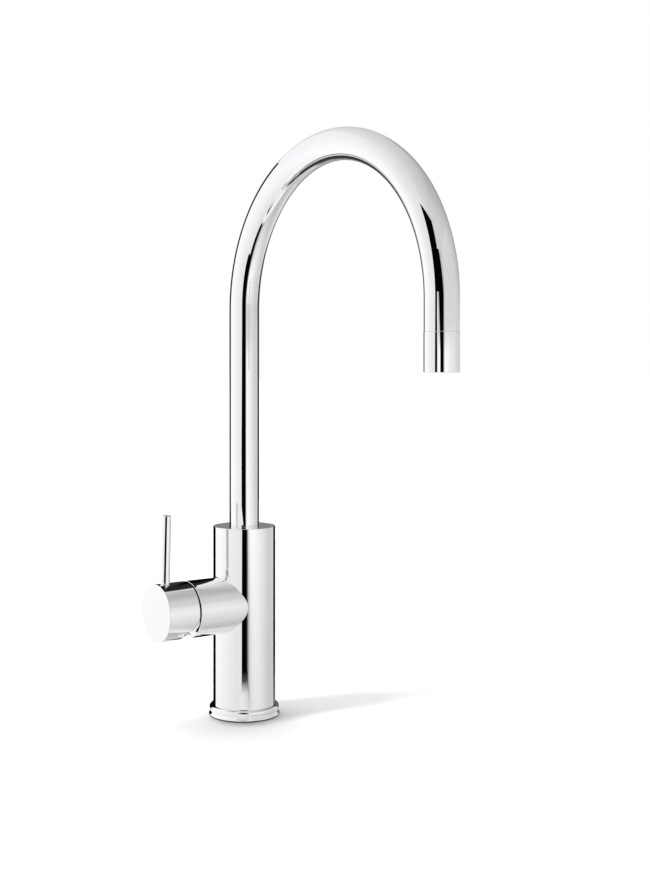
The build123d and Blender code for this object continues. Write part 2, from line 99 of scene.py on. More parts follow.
class Shell:
    """Points and faces of one piece, with the surface's true normal at each corner of a face.

    Faces that are added while dark is set get the near-black material that paints shade into the seam and
    cavities, if they lie above the wedge.
    """

    def __init__(self, place=None):
        self.place = place or Matrix.Identity(4)
        self.turn = self.place.to_3x3()
        self.points = []
        self.faces = []
        self.normals = []
        self.dark = False
        self.slots = []

    def point(self, x, y, z):
        self.points.append(self.place @ Vector((x, y, z)))
        return len(self.points) - 1

    def face(self, corners):
        """Adds a face from (point, normal) pairs, leaving out a point that repeats its neighbour."""
        kept = []
        for index, normal in corners:
            if not kept or kept[-1][0] != index:
                kept.append((index, normal))
        if len(kept) > 1 and kept[0][0] == kept[-1][0]:
            kept.pop()
        if len(kept) > 2:
            self.faces.append([index for index, _ in kept])
            self.slots.append(1 if self.dark and self.above_wedge(kept[0][0]) else 0)
            self.normals.extend(self.turn @ Vector(normal).normalized() for _, normal in kept)

    def above_wedge(self, index):
        """True for a point of the handle above the wedge between housing and hub."""
        return self.points[index].z > HANDLE_HEIGHT - WEDGE_DROP

    def move_to(self, place):
        """The place of the points that follow."""
        self.place = place
        self.turn = place.to_3x3()

    def strip(self, low, high, low_normals, high_normals, closed=True):
        """Faces between two rows of points."""
        count = len(low)
        for i in range(count if closed else count - 1):
            j = (i + 1) % count
            self.face([
                (low[i], low_normals[i]), (low[j], low_normals[j]),
                (high[j], high_normals[j]), (high[i], high_normals[i]),
            ])

    def build(self, name, material, body, nodes, slot="chrome"):
        mesh = bpy.data.meshes.new(name)
        mesh.from_pydata([p * MM for p in self.points], [], self.faces)
        mesh.polygons.foreach_set("use_smooth", [True] * len(mesh.polygons))
        mesh.normals_split_custom_set([tuple(n) for n in self.normals])
        mesh.materials.append(material)
        if any(self.slots):
            # Second slot: near-black material, painted shade in the seam and cavities
            mesh.materials.append(painted_seam_shade)
            mesh.polygons.foreach_set("material_index", self.slots)
        mesh.update()
        piece = bpy.data.objects.new(name, mesh)
        bpy.context.scene.collection.objects.link(piece)
        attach(piece, body)
        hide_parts(*nodes)
        return piece


def circle_angles(count):
    """Angles that part a full turn evenly, from 0."""
    return [2 * math.pi * i / count for i in range(count)]


def rounded(corners, closed=False):
    """Profile points with their normals, from corners given as (radius, height, edge rounding).

    The outline runs with the material on its left. Each point carries the normals of the surface
    before and after it, and both agree along a rounding.
    """
    flat = [Vector(c[:2]) for c in corners]
    count = len(flat)
    out = []
    for i, (x, y, size) in enumerate(corners):
        here = flat[i]
        before = flat[i - 1] if (i > 0 or closed) else None
        after = flat[(i + 1) % count] if (i < count - 1 or closed) else None
        d_in = (here - before).normalized() if before is not None else None
        d_out = (after - here).normalized() if after is not None else None
        n_in = Vector((d_in.y, -d_in.x)) if d_in is not None else None
        n_out = Vector((d_out.y, -d_out.x)) if d_out is not None else None
        if n_in is None or n_out is None or size == 0:
            out.append((here.x, here.y, n_in or n_out, n_out or n_in))
            continue
        turn = -d_in.angle_signed(d_out)
        back = abs(size * math.tan(turn / 2))
        start = here - d_in * back
        side = 1 if turn > 0 else -1
        centre = start - n_in * size * side
        for k in range(EDGE_STEPS + 1):
            a = turn * k / EDGE_STEPS
            cos, sin = math.cos(a), math.sin(a)
            n = Vector((n_in.x * cos - n_in.y * sin, n_in.x * sin + n_in.y * cos))
            p = centre + n * size * side
            out.append((p.x, p.y, n, n))
    return out


def lathe(shell, profile, count=ROUND, closed=False, angles=None, dark_from=None):
    """Turns a profile of (radius, height, normal before, normal after) about the local Z axis.

    Faces from the profile point dark_from onwards get the near-black material of painted seam shade.
    """
    angles = angles or circle_angles(count)
    rows = []
    for radius, height, _, _ in profile:
        if radius < 1e-6:
            middle = shell.point(0, 0, height)
            rows.append([middle] * len(angles))
        else:
            rows.append([shell.point(radius * math.cos(a), radius * math.sin(a), height) for a in angles])
    around = [(math.cos(a), math.sin(a)) for a in angles]

    def normals(n):
        return [(n.x * c, n.x * s, n.y) for c, s in around]

    pairs = list(zip(range(len(rows) - 1), range(1, len(rows))))
    if closed:
        pairs.append((len(rows) - 1, 0))
    for a, b in pairs:
        shell.dark = dark_from is not None and a >= dark_from
        shell.strip(rows[a], rows[b], normals(profile[a][3]), normals(profile[b][2]))
    shell.dark = False
    return rows


def pierced_wall(shell, stations):
    """A round wall with side holes. A station is (angle, lowest point, [hole points], highest point).

    One hole point is a hole's extreme, and two are its lower and upper edge.
    """
    count = len(stations)
    for i in range(count):
        a, b = stations[i], stations[(i + 1) % count]
        na, nb = (math.cos(a[0]), math.sin(a[0]), 0), (math.cos(b[0]), math.sin(b[0]), 0)
        if len(a[2]) == 2 or len(b[2]) == 2:
            shell.face([(a[1], na), (b[1], nb), (b[2][0], nb), (a[2][0], na)])
            shell.face([(a[2][-1], na), (b[2][-1], nb), (b[3], nb), (a[3], na)])
        else:
            part = [(a[1], na), (b[1], nb)] + [(p, nb) for p in b[2]] + [(b[3], nb), (a[3], na)]
            shell.face(part + [(p, na) for p in a[2]])


# Node materials


class Nodes:
    """Short hand for building the node tree of a material or a world."""

    def __init__(self, owner, output="ShaderNodeOutputMaterial"):
        owner.use_nodes = True
        self.owner = owner
        self.tree = owner.node_tree
        self.tree.nodes.clear()
        self.output = self.tree.nodes.new(output)

    def add(self, kind, **values):
        """A new node. Values are set on its inputs of that name, or else on the node itself."""
        node = self.tree.nodes.new(kind)
        for key, value in values.items():
            socket = key.replace("_", " ")
            found = [s for s in node.inputs if s.name.lower() == socket.lower()]
            if found:
                found[0].default_value = value
            else:
                setattr(node, key, value)
        return node

    def link(self, source, target):
        self.tree.links.new(source, target)

    def finish(self, shader):
        """Links the last shader to the output and returns the finished material or world."""
        self.link(shader, self.output.inputs["Surface"])
        return self.owner

    def ramp(self, source, stops):
        """A colour ramp from (position, grey or colour) stops."""
        node = self.add("ShaderNodeValToRGB")
        elements = node.color_ramp.elements
        while len(elements) > 1:
            elements.remove(elements[-1])
        for i, (position, value) in enumerate(stops):
            element = elements[0] if i == 0 else elements.new(position)
            element.position = position
            colour = value if isinstance(value, tuple) else (value, value, value)
            element.color = (*colour, 1)
        self.link(source, node.inputs["Fac"])
        return node.outputs["Color"]

    def noise(self, vector, scale, detail=4.0, roughness=0.5):
        node = self.add("ShaderNodeTexNoise", Scale=scale, Detail=detail, Roughness=roughness)
        self.link(vector, node.inputs["Vector"])
        return node.outputs["Fac"]

    def where_seen(self, plain, seen):
        """The shader seen for rays of the camera, in the metal and through glass, and plain for the rest."""
        path = self.add("ShaderNodeLightPath").outputs
        share = path["Is Camera Ray"]
        for kind in ("Is Glossy Ray", "Is Transmission Ray"):
            total = self.add("ShaderNodeMath", operation="ADD", use_clamp=True)
            self.link(share, total.inputs[0])
            self.link(path[kind], total.inputs[1])
            share = total.outputs[0]
        mix = self.add("ShaderNodeMixShader")
        for source, target in zip((share, plain, seen), mix.inputs):
            self.link(source, target)
        return mix.outputs[0]


def dressed(name, colours, grain, roughness, metallic, bump, depth):
    """A surface whose colour, roughness and relief come from two noises in object space."""
    nodes = Nodes(bpy.data.materials.new(name))
    place = nodes.add("ShaderNodeTexCoord").outputs["Object"]
    fine = nodes.noise(place, grain[0], 5.0, 0.6)
    broad = nodes.noise(place, grain[1], 3.0, 0.5)
    shader = nodes.add("ShaderNodeBsdfPrincipled", Metallic=metallic)
    nodes.link(nodes.ramp(broad, [(0.3, colours[0]), (0.7, colours[1])]), shader.inputs["Base Color"])
    nodes.link(nodes.ramp(fine, [(0.3, roughness[0]), (0.7, roughness[1])]), shader.inputs["Roughness"])
    relief = nodes.add("ShaderNodeBump", Strength=bump, Distance=depth)
    nodes.link(fine, relief.inputs["Height"])
    nodes.link(relief.outputs["Normal"], shader.inputs["Normal"])
    return nodes.finish(shader.outputs["BSDF"])


# Each finish: darkest and lightest colour, fine and broad grain, smoothest and roughest spot,
# metallic, strength and depth of the relief
FINISHES = {
    "chrome": (((0.865, 0.87, 0.88), (0.885, 0.89, 0.9)), (900, 40), (0.015, 0.035), 1, 0.02, 1e-5),
    "brass": (((0.66, 0.5, 0.27), (0.74, 0.59, 0.33)), (1400, 120), (0.22, 0.38), 1, 0.15, 2e-5),
    "steel": (((0.58, 0.58, 0.59), (0.65, 0.65, 0.66)), (1600, 150), (0.2, 0.36), 1, 0.15, 2e-5),
    "rubber": (((0.018, 0.018, 0.019), (0.032, 0.032, 0.033)), (2200, 160), (0.55, 0.75), 0, 0.3, 4e-5),
    "white_plastic": (((0.8, 0.8, 0.78), (0.86, 0.86, 0.84)), (1500, 90), (0.3, 0.45), 0, 0.12, 2e-5),
    "grey_plastic": (((0.38, 0.39, 0.4), (0.44, 0.45, 0.46)), (1500, 90), (0.32, 0.48), 0, 0.15, 2e-5),
    "outlet_plastic": (((0.74, 0.75, 0.76), (0.8, 0.81, 0.82)), (1500, 90), (0.28, 0.42), 0, 0.12, 2e-5),
    "ceramic": (((0.88, 0.86, 0.82), (0.93, 0.91, 0.87)), (1800, 70), (0.12, 0.22), 0, 0.06, 1e-5),
    # unlit_metal: dull inner metal whose near-black colour is painted shade of the seam between housing and
    # hub, the hub's cavity and the housing's pocket
    "unlit_metal": (((0.014, 0.014, 0.015), (0.022, 0.022, 0.023)), (900, 60), (0.45, 0.6), 0.6, 0.1, 2e-5),
}
materials = {name: dressed(name, *finish) for name, finish in FINISHES.items()}
chrome = materials["chrome"]
# Near-black material that paints shade into the seam and the cavities behind it
painted_seam_shade = materials["unlit_metal"]

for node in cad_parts.values():
    slots = node.data.materials
    if slots:
        material = materials[slots[0].name.split(".")[0]]
        for index in range(len(slots)):
            slots[index] = material


# Column and housing

HANDLE_PLACE = Matrix(((0, 0, -1, 0), (-1, 0, 0, 0), (0, 1, 0, HANDLE_HEIGHT), (0, 0, 0, 1)))

# Tapped holes in the underside: x, y, thread radius, thread depth, radius and end of the bore behind.
# Two for the hoses and a blind one for the stud.
TAPPED_HOLES = [
    (-5.0, 8.5, 4.55, 14.0, 3.2, 84.5),
    (-5.0, -8.5, 4.55, 14.0, 3.2, 84.5),
    (11.0, 0.0, 3.4, 18.0, 0, 0),
]


def saddle_curves(steps):
    """The rolling fillet between column and housing: (centre, point on column, point on housing).

    The angle round the housing runs from -Y towards +Z.
    """
    big, small = COLUMN_RADIUS + SADDLE_FILLET, HOUSING_RADIUS + SADDLE_FILLET
    curves = []
    for a in circle_angles(steps):
        y, z = -small * math.cos(a), small * math.sin(a)
        x = -math.sqrt(big ** 2 - y ** 2)
        centre = Vector((x, y, HANDLE_HEIGHT + z))
        share = COLUMN_RADIUS / big
        on_column = Vector((x * share, y * share, centre.z))
        share = HOUSING_RADIUS / small
        on_housing = Vector((x, y * share, HANDLE_HEIGHT + z * share))
        curves.append((centre, on_column, on_housing))
    return curves


def side_hole(radius, wall_radius, middle):
    """Samples of a small radial hole in a round wall: (wall angle, half height of the hole there)."""
    out = []
    for k in range(HOLE_STEPS + 1):
        a = math.pi * k / HOLE_STEPS
        out.append((middle + math.asin(-radius * math.cos(a) / wall_radius), radius * math.sin(a)))
    return out


def hole_stations(shell, samples, radius, height):
    """Points of a side hole's edge, as (angle, [points]) stations, and the closed loop of them."""
    stations, low, high = [], [], []
    last = len(samples) - 1
    for k, (angle, half) in enumerate(samples):
        x, y = radius * math.cos(angle), radius * math.sin(angle)
        levels = [height] if k in (0, last) else [height - half, height + half]
        points = [shell.point(x, y, level) for level in levels]
        stations.append((angle, points))
        low.append(points[0])
        high.append(points[-1])
    return stations, low + high[-2:0:-1]


def tapped_hole(shell, x, y, radius, depth, bore_radius, bore_end):
    """A blind hole up from the underside with a cut thread. Returns its rim on the underside."""
    steps, per_turn, pitch, relief = 48, 6, 1.0, 0.45

    def phase(z, a):
        """Where a place lies along the thread's profile, from 0 to 1 over one pitch."""
        return (z / pitch - a / (2 * math.pi)) % 1

    angles = list(reversed(circle_angles(steps)))
    levels = int(depth / pitch * per_turn)
    rows = []
    for level in range(levels + 1):
        z = depth * level / levels
        fade = min(1.0, level / per_turn, (levels - level) / per_turn)
        row = []
        for a in angles:
            r = radius - relief * (abs(2 * phase(z, a) - 1) - 0.5) * fade
            row.append(shell.point(x + r * math.cos(a), y + r * math.sin(a), z))
        rows.append(row)
    if bore_radius:
        places = [(x + bore_radius * math.cos(a), y + bore_radius * math.sin(a)) for a in angles]
        rows += [[shell.point(*place, z) for place in places] for z in (depth, bore_end)]
    down = [(0, 0, -1)] * steps
    inward = [(-math.cos(a), -math.sin(a), 0) for a in angles]
    for k in range(len(rows) - 1):
        normals = inward
        if k < levels:
            z = depth * (k + 0.5) / levels
            normals = []
            for a in angles:
                tilt = 2 * relief if phase(z, a) > 0.5 else -2 * relief
                normals.append((-math.cos(a), -math.sin(a), -tilt))
        elif k == levels:
            normals = down
        shell.strip(rows[k], rows[k + 1], normals, normals)
    shell.face([(i, (0, 0, -1)) for i in rows[-1]])
    return rows[0]


def make_tap_body():
    """Column and side housing in one, with every opening that can be seen from outside."""
    shell = Shell()
    half = ROUND // 2

    # Saddle: a strip of fillet from the column to the housing
    arc_steps = 6
    rings, normals = [], []
    for centre, on_column, on_housing in saddle_curves(ROUND):
        first, last = (on_column - centre).normalized(), (on_housing - centre).normalized()
        directions = [first.slerp(last, k / arc_steps) for k in range(arc_steps + 1)]
        rings.append([shell.point(*(centre + d * SADDLE_FILLET)) for d in directions])
        normals.append([-d for d in directions])
    for k in range(arc_steps):
        shell.strip(
            [ring[k] for ring in rings], [ring[k + 1] for ring in rings],
            [n[k] for n in normals], [n[k + 1] for n in normals],
        )

    # Stations round the column: plain ones, those of the saddle and those of the lock screw's hole
    saddle = []
    for i in range(half + 1):
        up, down = (half - i) % ROUND, (half + i) % ROUND
        point = shell.points[rings[up][0]]
        mids = [rings[up][0]] if i in (0, half) else [rings[down][0], rings[up][0]]
        saddle.append((math.atan2(point.y, point.x) % (2 * math.pi), mids))
    samples = side_hole(LOCK_RADIUS, COLUMN_RADIUS, math.pi / 2)
    lock, lock_loop = hole_stations(shell, list(reversed(samples)), COLUMN_RADIUS, LOCK_HEIGHT)
    lock.reverse()
    spacing = math.pi / ROUND
    taken = [(saddle[0][0], saddle[-1][0]), (lock[0][0], lock[-1][0])]

    def is_free(angle):
        return not any(low - spacing < angle < high + spacing for low, high in taken)

    plain = [(a, []) for a in circle_angles(ROUND) if is_free(a)]
    stations = sorted(plain + saddle + lock, key=lambda s: s[0])
    angles = [s[0] for s in stations]

    # Foot, column wall, rounded top edge, nut seat and socket share these angles
    foot = rounded([
        (SEAL_RECESS_RADIUS, 0, 0), (SEAL_RECESS_RADIUS, SEAL_THICKNESS, 0),
        (COLUMN_RADIUS, SEAL_THICKNESS, 0),
    ])
    foot_rows = lathe(shell, foot, angles=angles)
    top = rounded([
        (COLUMN_RADIUS, SEAL_THICKNESS, 0), (COLUMN_RADIUS, COLUMN_TOP, COLUMN_EDGE),
        (NUT_SEAT_RADIUS, COLUMN_TOP, NUT_SEAT_EDGE), (NUT_SEAT_RADIUS, NUT_SEAT, 0),
        (SOCKET_RADIUS, NUT_SEAT, 0), (SOCKET_RADIUS, SOCKET_FLOOR, 0), (0, SOCKET_FLOOR, 0),
    ])[1:]
    top_rows = lathe(shell, top, angles=angles)
    wall = [(a, foot_rows[-1][i], mids, top_rows[0][i]) for i, (a, mids) in enumerate(stations)]
    pierced_wall(shell, wall)

    # Lock screw's hole, blind
    depth_loop = []
    hole_normals = []
    for i in lock_loop:
        p = shell.points[i]
        across, rise = p.x, p.z - LOCK_HEIGHT
        depth_loop.append(shell.point(p.x, SOCKET_RADIUS + LOCK_HOLE_WALL, p.z))
        hole_normals.append((-across, 0, -rise))
    shell.strip(lock_loop, depth_loop, hole_normals, hole_normals)
    shell.face([(i, (0, 1, 0)) for i in depth_loop])

    # Underside with the tapped holes for hoses and stud
    loops = [foot_rows[0]] + [tapped_hole(shell, *hole) for hole in TAPPED_HOLES]
    order = [i for loop in loops for i in loop]
    for triangle in tessellate_polygon([[shell.points[i] for i in loop] for loop in loops]):
        ids = [order[i] for i in triangle]
        a, b, c = (shell.points[i] for i in ids)
        if (b - a).cross(c - a).z > 0:
            ids.reverse()
        shell.face([(i, (0, 0, -1)) for i in ids])

    # Housing: from the fillet out to its end, then the threaded mouth and the pocket. What comes
    # after the rounded edge of its end gets the near-black material, painted shade of the seam and pocket.
    shell.move_to(HANDLE_PLACE)
    profile = rounded([
        (HOUSING_RADIUS, POCKET_FLOOR, 0), (HOUSING_RADIUS, HOUSING_END, HOUSING_EDGE),
        (POCKET_THREAD_RADIUS, HOUSING_END, POCKET_EDGE), (POCKET_THREAD_RADIUS, POCKET_THREAD_START, 0),
        (POCKET_RADIUS, POCKET_THREAD_START, 0), (POCKET_RADIUS, POCKET_FLOOR, 0), (0, POCKET_FLOOR, 0),
    ])[1:]
    rows = lathe(shell, profile, dark_from=EDGE_STEPS)
    around = [(math.cos(a), math.sin(a), 0) for a in circle_angles(ROUND)]
    shell.strip([ring[-1] for ring in rings], rows[0], around, around)
    return shell


make_tap_body().build("chrome_body", chrome, "column", ["tap_body"])


# Trim ring, ring nut and dome

# Trim ring: a lip, a neck above it and a bead of part of a circle on top
RING_BORE = 25.05
RING_TOP = 8.8
LIP_RADIUS = 28.6
LIP_TOP = 1.5
NECK_RADIUS = 27.4
NECK_HEIGHT = 3.7
BEAD_RADIUS = 2.5
BEAD_MIDDLE = (25.5, 6.3)
BEAD_STEPS = 28

NUT_BORE = 12.3
NUT_RADIUS = 16.95

DOME_RADIUS = 17.0
DOME_BORE = 15.8
DOME_OPENING = math.radians(48.0)
DOME_FOOT = 50.0
DOME_FLANGE_TOP = 52.0
DOME_STEPS = 40
DOME_GAP = 0.05


def make_trim_ring():
    """The ring round the foot: a thin lip, a neck and a bead on top."""
    shell = Shell()
    bead_x, bead_z = BEAD_MIDDLE
    start = -math.acos((NECK_RADIUS - bead_x) / BEAD_RADIUS)
    bead = []
    for k in range(BEAD_STEPS + 1):
        a = start + (math.pi / 2 - start) * k / BEAD_STEPS
        n = Vector((math.cos(a), math.sin(a)))
        bead.append((bead_x + BEAD_RADIUS * n.x, bead_z + BEAD_RADIUS * n.y, n, n))
    lower = rounded([
        (RING_BORE, RING_TOP, 0), (RING_BORE, SEAL_THICKNESS, 0.1), (LIP_RADIUS, SEAL_THICKNESS, 0.12),
        (LIP_RADIUS, LIP_TOP, 0.18), (NECK_RADIUS, NECK_HEIGHT, 0.6), (bead[0][0], bead[0][1], 0),
    ])
    lower[0] = (*lower[0][:2], Vector((0, 1)), lower[0][3])
    lathe(shell, lower[:-1] + bead, closed=True)
    return shell


def make_ring_nut():
    """The ring in the column's top that closes the spout's socket."""
    shell = Shell()
    corners = [
        (NUT_BORE, NUT_SEAT, 0.1), (NUT_RADIUS, NUT_SEAT, 0.1), (NUT_RADIUS, COLUMN_TOP, 0.12),
        (NUT_BORE, COLUMN_TOP, 0.2),
    ]
    lathe(shell, rounded(corners, closed=True), closed=True)
    return shell


def make_dome():
    """The dome over the cartridge: a flange in the housing's thread, then part of a hollow ball."""
    shell = Shell(HANDLE_PLACE)
    top = math.pi / 2 - DOME_OPENING
    rim = POCKET_THREAD_RADIUS - DOME_GAP
    profile = rounded([
        (DOME_BORE, DOME_FOOT, 0), (rim, DOME_FOOT, 0.1), (rim, DOME_FLANGE_TOP, 0.2),
        (DOME_RADIUS, DOME_FLANGE_TOP, 0), (DOME_RADIUS, HOUSING_END, 0),
    ])
    profile[0] = (*profile[0][:2], Vector((-1, 0)), profile[0][3])
    for k in range(1, DOME_STEPS + 1):
        a = top * k / DOME_STEPS
        n = Vector((math.cos(a), math.sin(a)))
        profile.append((DOME_RADIUS * n.x, HOUSING_END + DOME_RADIUS * n.y, n, n))
    up = Vector((0, 1))
    profile[-1] = (*profile[-1][:3], up)
    inner_top = math.asin(DOME_RADIUS * math.sin(top) / DOME_BORE)
    for k in range(DOME_STEPS + 1):
        a = inner_top * (1 - k / DOME_STEPS)
        n = Vector((-math.cos(a), -math.sin(a)))
        before = up if k == 0 else n
        profile.append((DOME_BORE * math.cos(a), HOUSING_END + DOME_BORE * math.sin(a), before, n))
    lathe(shell, profile, closed=True)
    return shell


make_trim_ring().build("trim_ring", chrome, "column", ["base_ring"])
make_ring_nut().build("socket_nut", chrome, "column", ["spout_ring_nut"])
make_dome().build("dome", chrome, "column", ["dome_cover"])


# Lever hub and rod

HUB_RADIUS = 22.25
HUB_START = 55.4
HUB_END = 82.0
HUB_EDGE = 0.5
HUB_RIM = 0.2
HUB_BORE = 19.5
HUB_CAVITY_END = 71.5
WEDGE_ANGLE = math.radians(30.0)
GRUB_DISTANCE = 75.0
GRUB_RADIUS = 2.55
GRUB_HOLE_END = 13.0
HUB_UPPER_STEPS = 136
HUB_LOWER_STEPS = 104
HUB_RIM_STEPS = 4

ROD_DISTANCE = 73.6
ROD_RADIUS = 3.5
ROD_RISE = 52.5
ROD_SEAT = 2.25
ROD_LEAN = math.radians(1.5)
ROD_EDGE = 0.45
ROD_PIN_RADIUS = 2.0
ROD_PIN_DEPTH = 8.0
ROD_PIN_EDGE = 0.3
ROD_ROUND = 144


def hub_angles(radius, lower):
    """Angles round the hub that keep a point on the kink where the wedge starts."""
    kink = math.asin(-WEDGE_DROP / radius)
    span = math.pi - 2 * kink
    rest = 2 * math.pi - span
    upper = [kink + span * k / HUB_UPPER_STEPS for k in range(HUB_UPPER_STEPS)]
    return upper + [kink + span + rest * share for share in lower]


def make_hub():
    """The lever's hub: a cup whose rim is cut back as a wedge in its lower part."""
    shell = Shell(HANDLE_PLACE)
    plain_face = Vector((0, 0, -1))
    wedge_face = Vector((0, -math.sin(WEDGE_ANGLE), -math.cos(WEDGE_ANGLE)))

    # Shares of the lower arc, with those of the set screw's hole among them
    kink = math.asin(-WEDGE_DROP / HUB_RADIUS)
    begin, rest = math.pi - kink, math.pi + 2 * kink
    samples = side_hole(GRUB_RADIUS, HUB_RADIUS, 1.5 * math.pi)
    hole, loop = hole_stations(shell, list(reversed(samples)), HUB_RADIUS, GRUB_DISTANCE)
    hole.reverse()
    hole_shares = [(a - begin) / rest for a, _ in hole]
    regular = [k / HUB_LOWER_STEPS for k in range(HUB_LOWER_STEPS)]
    margin = 0.004
    regular = [s for s in regular if not hole_shares[0] - margin < s < hole_shares[-1] + margin]
    lower = sorted(regular + hole_shares)

    def ring_at(radius, back):
        angles = hub_angles(radius, lower)
        points = []
        for a in angles:
            y = radius * math.sin(a)
            start = HUB_START + max(0.0, -WEDGE_DROP - y) * math.tan(WEDGE_ANGLE)
            points.append(shell.point(radius * math.cos(a), y, start + back))
        return points, angles

    def rim_normals(angles, radius, side, share):
        """From the rim's plane to the wall, with side 1 for the outer and -1 for the inner wall."""
        out = []
        for a in angles:
            plane = wedge_face if radius * math.sin(a) < -WEDGE_DROP - 1e-6 else plain_face
            wall = Vector((math.cos(a), math.sin(a), 0)) * side
            turn = share * math.pi / 2
            out.append((plane * math.cos(turn) + wall * math.sin(turn)).normalized())
        return out

    # Rim: the rounding of its inner edge, the flat and the rounding of its outer edge
    steps = HUB_RIM_STEPS
    rows = []
    for k in range(steps + 1):
        t = math.pi / 2 * k / steps
        radius = HUB_BORE + HUB_RIM * (1 - math.cos(t))
        points, angles = ring_at(radius, HUB_RIM * (1 - math.sin(t)))
        rows.append((points, rim_normals(angles, radius, -1, 1 - k / steps), angles))
    for k in range(steps + 1):
        t = math.pi / 2 * k / steps
        radius = HUB_RADIUS - HUB_RIM * (1 - math.sin(t))
        points, angles = ring_at(radius, HUB_RIM * (1 - math.cos(t)))
        rows.append((points, rim_normals(angles, radius, 1, k / steps), angles))
    # The rim, up to the last step of its outer rounding, gets the near-black material: painted shade of the
    # seam
    for k, (low, high) in enumerate(zip(rows, rows[1:])):
        shell.dark = k < 2 * steps
        shell.strip(low[0], high[0], low[1], high[1])

    # Cavity wall and floor, in the near-black material: painted shade of the cavity
    shell.dark = True
    points, _, angles = rows[0]
    floor = [shell.point(HUB_BORE * math.cos(a), HUB_BORE * math.sin(a), HUB_CAVITY_END) for a in angles]
    inward = [(-math.cos(a), -math.sin(a), 0) for a in angles]
    shell.strip(floor, points, inward, inward)
    middle = shell.point(0, 0, HUB_CAVITY_END)
    down = [(0, 0, -1)] * len(floor)
    shell.strip([middle] * len(floor), floor, down, down)
    shell.dark = False

    # Outer wall with the hole, the rounded edge and the face
    points, _, angles = rows[-1]
    end = rounded([(HUB_RADIUS, HUB_START, 0), (HUB_RADIUS, HUB_END, HUB_EDGE), (0, HUB_END, 0)])[1:]
    end_rows = lathe(shell, end, angles=angles)
    mids_at = {round(share, 9): mids for share, (_, mids) in zip(hole_shares, hole)}
    wall = []
    upper = len(angles) - len(lower)
    for i, a in enumerate(angles):
        mids = mids_at.get(round(lower[i - upper], 9), []) if i >= upper else []
        wall.append((a, points[i], mids, end_rows[0][i]))
    pierced_wall(shell, wall)

    # The set screw's hole
    depth, hole_normals = [], []
    inverse = HANDLE_PLACE.inverted()
    for i in loop:
        p = inverse @ shell.points[i]
        depth.append(shell.point(p.x, -GRUB_HOLE_END, p.z))
        hole_normals.append((-p.x, 0, GRUB_DISTANCE - p.z))
    shell.strip(loop, depth, hole_normals, hole_normals)
    shell.face([(i, (0, -1, 0)) for i in depth])
    return shell


ROD_PLACE = (
    HANDLE_PLACE
    @ Matrix.Translation((0, HUB_RADIUS - ROD_SEAT, ROD_DISTANCE))
    @ Matrix.Rotation(-math.pi / 2 - ROD_LEAN, 4, "X")
)


def make_lever_rod():
    """The upright lever, with the pin that holds it in the hub."""
    shell = Shell(ROD_PLACE)
    length = ROD_SEAT + ROD_RISE
    profile = rounded([
        (0, -ROD_PIN_DEPTH, 0), (ROD_PIN_RADIUS, -ROD_PIN_DEPTH, ROD_PIN_EDGE), (ROD_PIN_RADIUS, 0, 0),
        (ROD_RADIUS, 0, 0), (ROD_RADIUS, length, ROD_EDGE), (0, length, 0),
    ])
    lathe(shell, profile, ROD_ROUND)
    return shell


make_hub().build("hub", chrome, "lever", ["lever_hub"])
make_lever_rod().build("rod", chrome, "lever", ["lever_rod"])


# Spout tube and collar

COLLAR_RADIUS = 12.15
COLLAR_LOW = 276.0
COLLAR_BORE = 10.75
COLLAR_EDGE = 0.3
WASHER_TOP = 294.0
COLLAR_NECK_BORE = 9.0
COLLAR_NECK_RADIUS = 10.95
COLLAR_NECK_TOP = 311.0

# Height of one more ring in the tube's straight part
TUBE_SPLIT = 220.0


def make_spout_tube():
    """The bent tube: stations of (centre, angle along the arch), each with an outer and an inner ring."""
    shell = Shell()
    stations = [(Vector((0, 0, TUBE_START)), 0.0), (Vector((0, 0, TUBE_SPLIT)), 0.0)]
    for k in range(ARCH_STEPS + 1):
        a = math.pi * k / ARCH_STEPS
        centre = Vector((0, ARCH_RADIUS * (math.cos(a) - 1), ARCH_HEIGHT + ARCH_RADIUS * math.sin(a)))
        stations.append((centre, a))
    stations.append((Vector((0, -REACH, TUBE_END)), math.pi))

    def ring_at(station, radius, shift=0.0):
        centre, a = station
        outward = Vector((0, math.cos(a), math.sin(a)))
        along = Vector((0, -math.sin(a), math.cos(a)))
        points, normals = [], []
        for b in circle_angles(TUBE_ROUND):
            n = Vector((math.cos(b), 0, 0)) + outward * math.sin(b)
            points.append(shell.point(*(centre + along * shift + n * radius)))
            normals.append(n)
        return points, normals

    outer = [ring_at(s, TUBE_RADIUS) for s in stations[:-1]]
    face = Vector((0, 0, -1))
    steps = 3
    for k in range(steps + 1):
        t = math.pi / 2 * k / steps
        inset, rise = TUBE_EDGE * (1 - math.cos(t)), TUBE_EDGE * (1 - math.sin(t))
        points, normals = ring_at(stations[-1], TUBE_RADIUS - inset, -rise)
        outer.append((points, [n * math.cos(t) + face * math.sin(t) for n in normals]))
    inner = [ring_at(s, TUBE_BORE) for s in stations]
    for (low, low_normals), (high, high_normals) in zip(outer, outer[1:]):
        shell.strip(low, high, low_normals, high_normals)
    for (low, low_normals), (high, high_normals) in zip(inner, inner[1:]):
        shell.strip(high, low, [-n for n in high_normals], [-n for n in low_normals])
    down = [(0, 0, -1)] * TUBE_ROUND
    shell.strip(outer[-1][0], inner[-1][0], down, down)
    shell.strip(inner[0][0], outer[0][0], down, down)
    return shell


